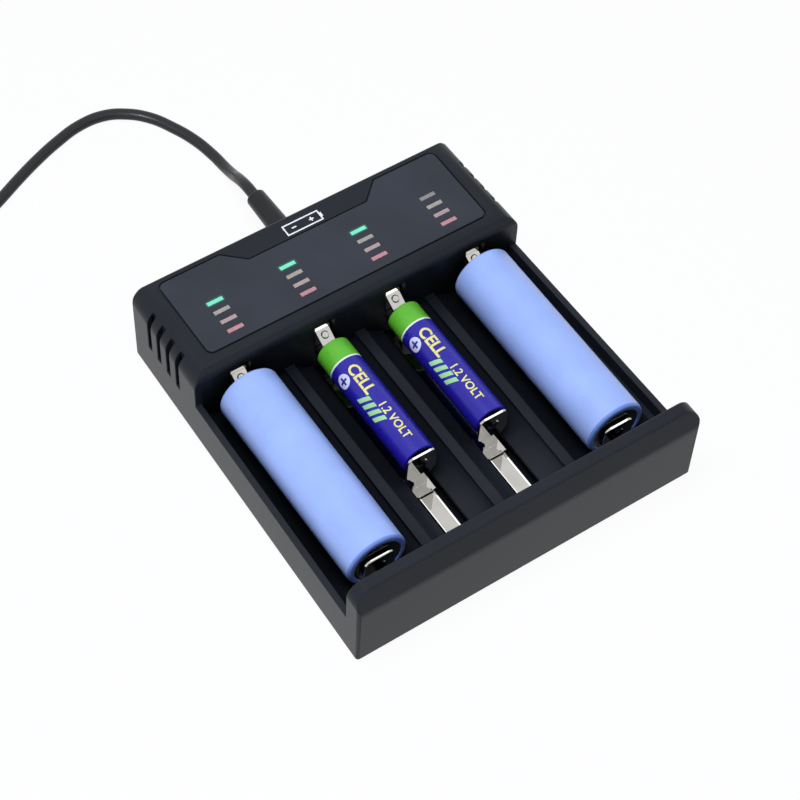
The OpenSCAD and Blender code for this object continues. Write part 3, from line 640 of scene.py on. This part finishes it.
# rails: a strip on a web, pressed down between two raised edges, with an arm and a leg at the rear
railSet = {
    "profile": [  # mm across the rail and above the table
        (-1.2, 2.6), (1.2, 2.6), (1.2, 3.45), (2.5, 3.45), (2.5, 3.87), (2.42, 3.95), (2.36, 3.95),
        (1.95, 3.69), (1.95, 3.56), (-2.14, 3.56), (-2.16, 3.88), (-2.44, 3.945), (-2.5, 3.88),
        (-2.5, 3.45), (-1.2, 3.45)],
    "levelPoint": 10, "levelFrom": -27.0, "levelOver": 0.5,  # behind here the left edge's top is level
    "armReach": 6.6, "armTop": 5.25, "armThick": 0.6,
    "webHalf": 1.2, "webOverlap": 1, "under": 2.6, "sheet": 0.5, "railRear": 21.9,
}


def addBlock(bm, low, high):
    size = Vector(high) - Vector(low)
    place = Matrix.Translation((Vector(high) + Vector(low)) / 2 * mm)
    bmesh.ops.create_cube(bm, size=1, matrix=place @ Matrix.Diagonal((*(size * mm), 1)))


def makeRail(i, s):
    node = f"slider_rail_{i}"
    low, high = (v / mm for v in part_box(node))
    x = high.x - s["armReach"]
    bm = bmesh.new()
    level = list(s["profile"])
    k = s["levelPoint"]
    level[k] = (level[k][0], level[k + 1][1])
    cuts = [(low.y, s["profile"]), (s["levelFrom"], s["profile"]),
            (s["levelFrom"] + s["levelOver"], level), (s["railRear"], level)]
    rings = [[bm.verts.new((mm * (x + a), mm * y, mm * z)) for a, z in profile] for y, profile in cuts]
    skinRings(bm, rings)
    w, under, rear = s["webHalf"], s["under"], s["railRear"]
    addBlock(bm, (x, rear - s["armThick"], under), (x + s["armReach"], rear, s["armTop"]))
    addBlock(bm, (x - w, rear - s["webOverlap"], under), (x + w, high.y, under + s["sheet"]))
    addBlock(bm, (x - w, high.y - s["sheet"], under), (x + w, high.y, high.z))
    piece = addPiece(node + "_look", meshFrom(node + "_look", bm), "charger")
    paint(piece, nickel)
    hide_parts(node)
    return piece


# contacts and sliders: bent sheet with fine edges, the tabs' rims sloped,
# and a lip along the tip of each positive contact
metalSet = {
    "edge": 0.06, "rimAbove": 14.0, "rimDrop": 0.24, "dimple": 3.2, "tabMiddle": 14.8,  # mm
    "lip": (5.3, 0.8, 0.3), "lipPlace": (26.2, 19.8), "lipTilt": 31,  # degrees
}


def tiltRims(bm):
    s = metalSet
    top = [v for v in bm.verts if v.co.z > s["rimAbove"] * mm]
    front = min(v.co.y for v in top)
    middle = (max(v.co.x for v in top) + min(v.co.x for v in top)) / 2
    for v in top:
        out = Vector((v.co.x - middle, 0, v.co.z - s["tabMiddle"] * mm))
        if abs(v.co.y - front) < sameLevel and out.length > s["dimple"] * mm:
            v.co -= out.normalized() * s["rimDrop"] * mm


def makeContactLip(i, s):
    low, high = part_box(f"positive_contact_{i}")
    size = Vector(s["lip"]) * mm
    place = Matrix.Translation(((low.x + high.x) / 2, s["lipPlace"][0] * mm, s["lipPlace"][1] * mm))
    tilt = Matrix.Rotation(math.radians(s["lipTilt"]), 4, "X")
    bm = bmesh.new()
    bmesh.ops.create_cube(bm, size=1, matrix=place @ tilt @ Matrix.Diagonal((*size, 1)))
    bmesh.ops.bevel(bm, geom=bm.edges[:], offset=s["edge"] * mm, segments=1, affect="EDGES")
    mesh = meshFrom(f"contact_lip_{i}", bm)
    piece = addPiece(f"contact_lip_{i}", mesh, "charger")
    paint(piece, nickel)
    return piece


brightPieces = {"lips": [], "rails": [], "sliders": [], "lead": []}  # those with lamps of their own
for i in bays:
    softenedCopy(f"positive_contact_{i}", nickel, metalSet["edge"])
    lip = makeContactLip(i, metalSet)
    if i in innerBays:
        brightPieces["lips"].append(lip)
    brightPieces["rails"].append(makeRail(i, railSet))
    brightPieces["sliders"].append(softenedCopy(f"slider_{i}", nickel, metalSet["edge"], shape=tiltRims))
print("metal parts dressed")


# extension springs, each wound as a fixed coil of wire; the real ones stretch as the sliders move
springSet = {"turns": 26, "stepsPerTurn": 16, "wire": 0.4}  # mm


def makeSpring(i, s):
    node = f"slider_spring_{i}"
    low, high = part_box(node)
    middle = (low + high) / 2
    radius = (high.x - low.x) / 2 - s["wire"] / 2 * mm
    steps = s["turns"] * s["stepsPerTurn"]
    reach = high.y - low.y - s["wire"] * mm
    path = []
    for k in range(steps + 1):
        a = 2 * math.pi * k / s["stepsPerTurn"]
        along = low.y + s["wire"] / 2 * mm + reach * k / steps
        path.append(Vector((middle.x + radius * math.cos(a), along, middle.z + radius * math.sin(a))))
    piece = bpy.data.objects.new(node + "_look", wireMesh(node + "_look", path, s["wire"] / 2 * mm))
    bpy.context.scene.collection.objects.link(piece)
    paint(piece, springSteel)
    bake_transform(piece)
    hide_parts(node)


for i in bays:
    makeSpring(i, springSet)
print("springs wound")


# large cells: pale wrap folded over both ends, a plain disc at the front and a raised cap at the rear;
# the front fold is a darker blue, partly for the double layer of wrap and partly as painted shade
largeSet = {
    "edge": 0.9, "foldIn": 1.85, "foldSlope": 0.12, "foldStep": 0.1,  # mm
    "discDepth": 0.2, "rearDepth": 0.2, "paperWidth": 0.5,
    "capRadius": 4.2, "capHeight": 0.35, "capEdge": 0.15,
}


def makeLargeCell(node, s):
    low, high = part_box(node)
    r = (high.x - low.x) / 2 / mm
    end = (high.y - low.y) / mm - s["capHeight"]
    wrap, foldAndShade, metal, paper = 0, 1, 2, 3
    e, disc, cap, capEdge = (s[k] for k in ("edge", "discDepth", "capRadius", "capEdge"))
    inner = r - s["foldIn"]
    seat, top = end - s["rearDepth"], end + s["capHeight"]
    profile = [(disc, 0, metal), (disc, inner - s["foldStep"], metal),
               (disc, inner, metal), (0, inner + s["foldSlope"], foldAndShade)]
    profile += rounded(e, r - e, e, 180, 90, foldAndShade)
    profile += rounded(end - e, r - e, e, 90, 0, wrap)
    profile += [(end, inner, wrap), (seat, inner - s["foldStep"], wrap),
                (seat, cap + s["paperWidth"], paper), (seat, cap, paper),
                (top - capEdge, cap, metal), (top, cap - capEdge, metal), (top, 0, metal)]
    middle = (low + high) / 2
    mesh = turned(node + "_look", profile, Vector((middle.x, low.y, middle.z)))
    piece = addPiece(node + "_look", mesh, "charger")
    paint(piece, blueWrap, blueFoldAndShade, canSteel, insulator)
    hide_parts(node)


for node in ("large_cell_left", "large_cell_right"):
    makeLargeCell(node, largeSet)
print("large cells wrapped")


# small cells: violet wrap with a green band and a white ring at the rear, and plain print
smallSet = {
    "edge": 0.7, "foldIn": 0.9, "foldSlope": 0.1, "foldStep": 0.1, "discDepth": 0.12,  # mm
    "rearDepth": 0.15, "buttonRadius": 1.9, "buttonHeight": 1.0, "buttonEdge": 0.2, "buttonFoot": 0.3,
    "band": 7.0, "ring": 0.55, "segments": 64,
    "words": [  # words, capital height, boldness, place along the cell, degrees from the top
        ("CELL", 3.4, 0.14, 28.0, -9, yellowPrint), ("1.2 VOLT", 2.4, 0.07, 11.8, -6, yellowPrint),
    ],
    "discAlong": 31.0, "discDegrees": -58, "discRadius": 2.2, "discPoints": 32,
    "plusLength": 2.64, "plusLine": 0.66, "printLift": 0.015, "plusLift": 0.03,
    "bars": {"along": 18.6, "degrees": -42, "count": 4,
             "length": 3.6, "width": 1.5, "pitch": 2.5, "slant": 0.55},
}


def makeSmallCell(node, s):
    low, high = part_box(node)
    r = (high.x - low.x) / 2 / mm
    end = (high.y - low.y) / mm - s["buttonHeight"]
    violet, green, white, metal = 0, 1, 2, 3
    e, disc, button, buttonEdge = (s[k] for k in ("edge", "discDepth", "buttonRadius", "buttonEdge"))
    inner = r - s["foldIn"]
    seat, top = end - s["rearDepth"], end + s["buttonHeight"]
    ringEnd = end - s["band"]
    profile = [(disc, 0, metal), (disc, inner, metal), (0, inner + s["foldSlope"], metal)]
    profile += rounded(e, r - e, e, 180, 90, violet)
    profile += [(ringEnd - s["ring"], r, violet), (ringEnd, r, white)]
    profile += rounded(end - e, r - e, e, 90, 0, green)
    profile += [(end, inner, green), (seat, inner - s["foldStep"], green),
                (seat, button + s["buttonFoot"], metal), (end, button, metal),
                (top - buttonEdge, button, metal), (top, button - buttonEdge, metal), (top, 0, metal)]
    middle = (low + high) / 2
    mesh = turned(node + "_look", profile, Vector((middle.x, low.y, middle.z)), s["segments"])
    piece = addPiece(node + "_look", mesh, "charger")
    paint(piece, violetWrap, greenWrap, whiteRing, canSteel)
    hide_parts(node)


def addPrint(node, name, mesh, along, degrees, material, lift):
    wrapOnCell(mesh, node, along, degrees, lift)
    piece = addPiece(f"{node}_{name}", mesh, "charger")
    paint(piece, material)


def printSmallCell(node, s):
    lift = s["printLift"]
    for k, (words, height, bold, along, degrees, material) in enumerate(s["words"]):
        addPrint(node, f"words_{k}", letterMesh(words, height, bold), along, degrees, material, lift)
    turns = [2 * math.pi * k / s["discPoints"] for k in range(s["discPoints"])]
    r = s["discRadius"]
    disc = flatShapes("disc", [[(r * math.cos(a), r * math.sin(a)) for a in turns]])
    addPrint(node, "disc", disc, s["discAlong"], s["discDegrees"], palePrint, lift)
    sign = flatShapes("plus", plusOutlines(0, 0, s["plusLength"], s["plusLine"]))
    addPrint(node, "plus", sign, s["discAlong"], s["discDegrees"], violetWrap, s["plusLift"])
    b = s["bars"]
    wide, tall = b["width"] / 2, b["length"] / 2
    lean = tall * b["slant"]
    bars = []
    for k in range(b["count"]):
        x = (k - (b["count"] - 1) / 2) * b["pitch"]
        bars.append([(x - wide - lean, -tall), (x + wide - lean, -tall),
                     (x + wide + lean, tall), (x - wide + lean, tall)])
    addPrint(node, "bars", flatShapes("bars", bars), b["along"], b["degrees"], leafPrint, lift)


for node in ("small_cell_left", "small_cell_right"):
    makeSmallCell(node, smallSet)
    printSmallCell(node, smallSet)
print("small cells wrapped and printed")


# the lead's fittings: relief, tie and plug
plugSet = {
    "reliefEdge": 0.2, "tieEdge": 0.2, "bodyEdge": 0.5, "shellEdge": 0.15, "tongueEdge": 0.1,  # mm
    "strip": (1.0, 6.0, 0.06), "stripCount": 4, "stripSpacing": 2.4, "stripInset": 0.6,
}
reliefPiece = softenedCopy("strain_relief", jacket, plugSet["reliefEdge"])
tiePiece = softenedCopy("cord_tie", tieWeave, plugSet["tieEdge"])
plugPiece = softenedCopy("usb_plug_body", black, plugSet["bodyEdge"], segments=3)
shellPiece = softenedCopy("usb_shell", nickel, plugSet["shellEdge"])
tonguePiece = softenedCopy("usb_tongue", chipBlack, plugSet["tongueEdge"])


def makeStrips(s):
    low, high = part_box("usb_tongue")
    across, along, thick = (v * mm for v in s["strip"])
    bm = bmesh.new()
    x = low.x + along / 2 + s["stripInset"] * mm
    for k in range(s["stripCount"]):
        y = (low.y + high.y) / 2 + (k - (s["stripCount"] - 1) / 2) * s["stripSpacing"] * mm
        place = Matrix.Translation((x, y, high.z + thick / 2))
        bmesh.ops.create_cube(bm, size=1, matrix=place @ Matrix.Diagonal((along, across, thick, 1)))
    piece = addPiece("usb_strips", meshFrom("usb_strips", bm), "charger")
    paint(piece, gold)
    return piece


stripPiece = makeStrips(plugSet)
print("lead fittings dressed")


# the lead: out of the strain relief, down to the table, into its coil and on to the plug
cordSet = {
    "diameter": 3.5, "length": 526, "roundSteps": 7, "lengthSteps": 8,  # mm, and steps of the mesh
    "route": [
        (1.5, 83, 11), (1.5, 87, 11), (2, 92, 9), (3, 98, 5), (3.5, 104, 2.5), (3.3, 110, 1.8),
        (1.7, 118.3, 1.8), (-1.4, 126.5, 1.8), (-5.4, 133.7, 1.8), (-10.8, 138.9, 1.8), (-17, 141.9, 1.8),
        (-25, 142.3, 1.8), (-34, 140.1, 1.8), (-43, 136.8, 1.8), (-51.5, 133, 1.8), (-59.5, 129, 1.9),
        (-68, 125, 2.1), (-78, 119.5, 2.4)],
    "tail": [(-92, 117.5, 5.6), (-97, 117.5, 5), (-102, 117.5, 4.5), (-107, 117.5, 4.4)],
    "coilCentre": (-87, 138.5), "coilRadii": (21, 17.5), "coilHeights": (2.35, 5.85),
    "coilEntry": -64.65, "coilAngle": 1105.35, "coilStep": 22.5,  # degrees, turning clockwise
    "shiftIn": 285, "shiftUp": 570, "shiftOut": 855, "shiftSpan": 70,
}


def eased(angle, start, span):
    t = min(1.0, max(0.0, (angle - start) / span))
    return t * t * (3 - 2 * t)


def coilPoints(s):
    outer, inner = s["coilRadii"]
    low, high = s["coilHeights"]
    steps = round(s["coilAngle"] / s["coilStep"])
    found = []
    for k in range(1, steps + 1):
        angle = s["coilAngle"] * k / steps
        moveIn = eased(angle, s["shiftIn"], s["shiftSpan"]) - eased(angle, s["shiftOut"], s["shiftSpan"])
        radius = outer + (inner - outer) * moveIn
        height = low + (high - low) * eased(angle, s["shiftUp"], s["shiftSpan"])
        turn = math.radians(s["coilEntry"] - angle)
        found.append((s["coilCentre"][0] + radius * math.cos(turn),
                      s["coilCentre"][1] + radius * math.sin(turn), height))
    return found


def makeCord(s):
    points = s["route"] + coilPoints(s) + s["tail"]
    curve = bpy.data.curves.new("lead", "CURVE")
    curve.dimensions = "3D"
    curve.bevel_depth = s["diameter"] / 2 * mm
    curve.bevel_resolution = s["roundSteps"]
    curve.resolution_u = s["lengthSteps"]
    curve.use_fill_caps = True
    spline = curve.splines.new("BEZIER")
    spline.bezier_points.add(len(points) - 1)
    for knot, p in zip(spline.bezier_points, points):
        knot.co = Vector(p) * mm
        knot.handle_left_type = "AUTO"
        knot.handle_right_type = "AUTO"
    curve.materials.append(jacket)
    piece = addPiece("lead", curve, "charger")
    brightPieces["lead"].append(piece)
    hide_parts("cord", "cord_coil")


makeCord(cordSet)
print("lead laid")


# floor, world and lamps: white as seen and as mirrored, with a soft light that is bright round the
# horizon, higher up at the rear, and dim overhead
stageSet = {
    "whiteFor": ("Is Camera Ray", "Is Glossy Ray", "Is Transmission Ray"),
    "floorSize": 3.0, "floorShade": (0.735, 0.755, 0.81), "floorRoughness": 0.9,
    "floorWhite": 0.94,  # the rest shows the shadow
    "worldWhite": 1.0, "horizonLight": (0.60, 0.64, 0.72), "ceilingLight": (0.006, 0.0064, 0.0072),
    "horizonTop": 0.06, "ceilingFrom": 0.34, "skyTilt": (0, -0.3, 1),
    "lamps": [  # name, place, width, depth, watts, colour, pieces it is kept to (None: all, unmirrored)
        ("overhead", (-0.14, -0.06, 0.75), 0.46, 0.36, 5.1, (0.93, 0.97, 1.06), None),
        ("overhead sheen", (-0.14, -0.06, 0.75), 0.46, 0.36, 2.4, (0.93, 0.97, 1.06), "everything"),
        ("lead light", (-0.54, -0.05, 0.66), 0.16, 0.16, 4.2, (0.95, 0.98, 1.05), "lead"),
        ("contact light", (0.31, -0.43, 0.75), 0.4, 0.4, 1.0, (1.0, 1.0, 0.97), "lips"),
        ("tab light", (0.27, -0.13, 0.75), 0.18, 0.34, 0.35, (1.0, 1.0, 1.0), "sliders"),
        ("rail light left", (-0.47, 0.37, 0.54), 0.24, 0.24, 0.2, (1.0, 1.0, 1.0), "rails"),
        ("rail light right", (0.52, 0.37, 0.46), 0.24, 0.24, 0.2, (1.0, 1.0, 1.0), "rails"),
    ],
}


# 1 for the kinds of ray that are named, and 0 for others
def anyRay(tree, kinds):
    path = tree.nodes.new("ShaderNodeLightPath").outputs
    total = path[kinds[0]]
    for kind in kinds[1:]:
        total = joined(tree, "MAXIMUM", total, path[kind])
    return total


def makeFloor(s):
    half = s["floorSize"] / 2
    corners = [(x * half / mm, y * half / mm) for x, y in ((-1, -1), (1, -1), (1, 1), (-1, 1))]
    floor = bpy.data.objects.new("floor", flatShapes("floor", [corners]))
    bpy.context.scene.collection.objects.link(floor)
    m, tree, shader = newMaterial("pale floor")
    shader.inputs["Base Color"].default_value = (*s["floorShade"], 1)
    shader.inputs["Roughness"].default_value = s["floorRoughness"]
    shader.inputs["Specular IOR Level"].default_value = 0.0
    white = addNode(tree, "ShaderNodeEmission", Color=(1, 1, 1, 1))
    share = joined(tree, "MULTIPLY", anyRay(tree, s["whiteFor"]), s["floorWhite"])
    mixed(tree, share, shader, white, "Material Output")
    floor.data.materials.append(m)


def makeWorld(s):
    world = bpy.data.worlds.new("studio")
    bpy.context.scene.world = world
    world.use_nodes = True
    tree = world.node_tree
    soft = tree.nodes["Background"]
    rise = addNode(tree, "ShaderNodeVectorMath")
    rise.operation = "DOT_PRODUCT"
    tree.links.new(tree.nodes.new("ShaderNodeTexCoord").outputs["Generated"], rise.inputs[0])
    rise.inputs[1].default_value = s["skyTilt"]
    shades = [(s["horizonTop"], s["horizonLight"]), (s["ceilingFrom"], s["ceilingLight"])]
    tree.links.new(ramp(tree, rise.outputs["Value"], shades, "EASE"), soft.inputs["Color"])
    white = addNode(tree, "ShaderNodeBackground", Color=(1, 1, 1, 1), Strength=s["worldWhite"])
    mixed(tree, anyRay(tree, s["whiteFor"]), soft, white, "World Output")


def makeLamps(s):
    for name, place, width, depth, watts, colour, keptTo in s["lamps"]:
        data = bpy.data.lights.new(name, "AREA")
        data.shape = "RECTANGLE"
        data.size = width
        data.size_y = depth
        data.energy = watts
        data.color = colour
        lamp = bpy.data.objects.new(name, data)
        lamp.location = place
        lamp.rotation_euler = Vector(place).to_track_quat("Z", "Y").to_euler()  # aimed at the origin
        bpy.context.scene.collection.objects.link(lamp)
        lamp.visible_glossy = keptTo is not None
        if keptTo in brightPieces:
            receivers = bpy.data.collections.new(name + " receivers")
            for piece in brightPieces[keptTo]:
                receivers.objects.link(piece)
            lamp.light_linking.receiver_collection = receivers


makeFloor(stageSet)
makeWorld(stageSet)
makeLamps(stageSet)
bpy.context.scene.view_settings.view_transform = "Standard"
print("stage lit")
